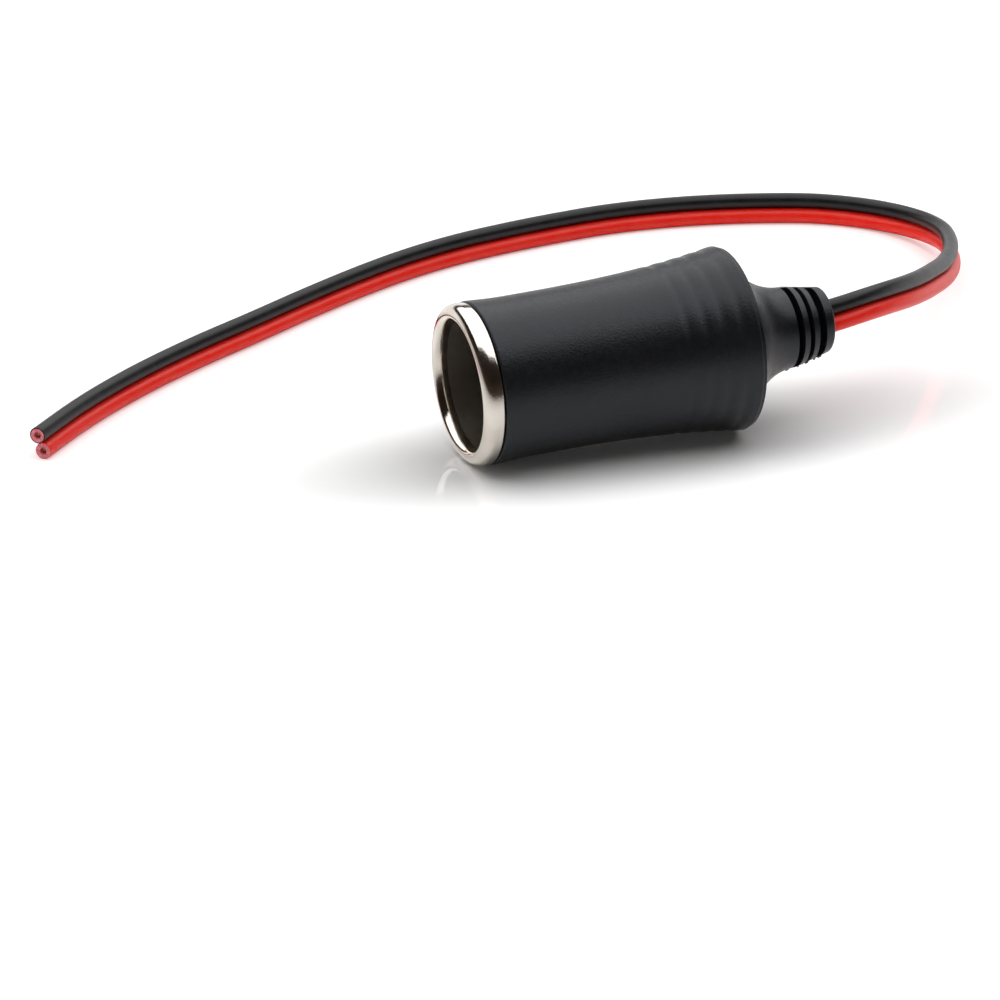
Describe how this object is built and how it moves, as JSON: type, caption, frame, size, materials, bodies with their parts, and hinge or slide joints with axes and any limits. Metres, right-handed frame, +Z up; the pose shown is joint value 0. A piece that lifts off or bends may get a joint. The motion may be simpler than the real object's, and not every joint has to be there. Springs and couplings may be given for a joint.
{
  "type": "car 12v power socket",
  "caption": "Female 12 V vehicle power socket with a rolled metal lip, a moulded black boot with a slotted tail, and a short red and black twin lead with bare cut ends.",
  "frame": {"origin": "on the floor, half way between the ends of the socket without its lead, under the socket's axis", "axes": "+X along the socket from its mouth towards its tail, +Y towards the lead's loop, +Z up from the floor"},
  "size_m": [0.1802, 0.1129, 0.0302],
  "materials": {
    "nickel_plate": "bright nickel plate on drawn steel",
    "amber_phenolic": "satin punched phenolic sheet",
    "contact_nickel": "dull nickel-plated contact",
    "brown_phenolic": "satin phenolic",
    "lug_brass": "stamped brass",
    "lug_steel": "tinned steel",
    "natural_core": "natural polyethylene",
    "black_vinyl": "fine satin texture, moulded",
    "black_insulation": "smooth extruded vinyl",
    "red_insulation": "smooth extruded vinyl",
    "copper": "bright drawn copper",
    "tin_solder": "frosted tin"
  },
  "bodies": {
    "root": {"socket_shell": "nickel_plate", "insulating_disc": "amber_phenolic", "centre_contact": "contact_nickel", "rear_insulator": "brown_phenolic", "positive_lug": "lug_brass", "negative_lug": "lug_steel", "inner_core": "natural_core", "moulded_boot": "black_vinyl", "black_wire": "black_insulation", "red_wire": "red_insulation", "black_conductor": "copper", "red_conductor": "copper", "black_solder": "tin_solder", "red_solder": "tin_solder", "black_strands": "copper", "red_strands": "copper"}
  },
  "joints": []
}
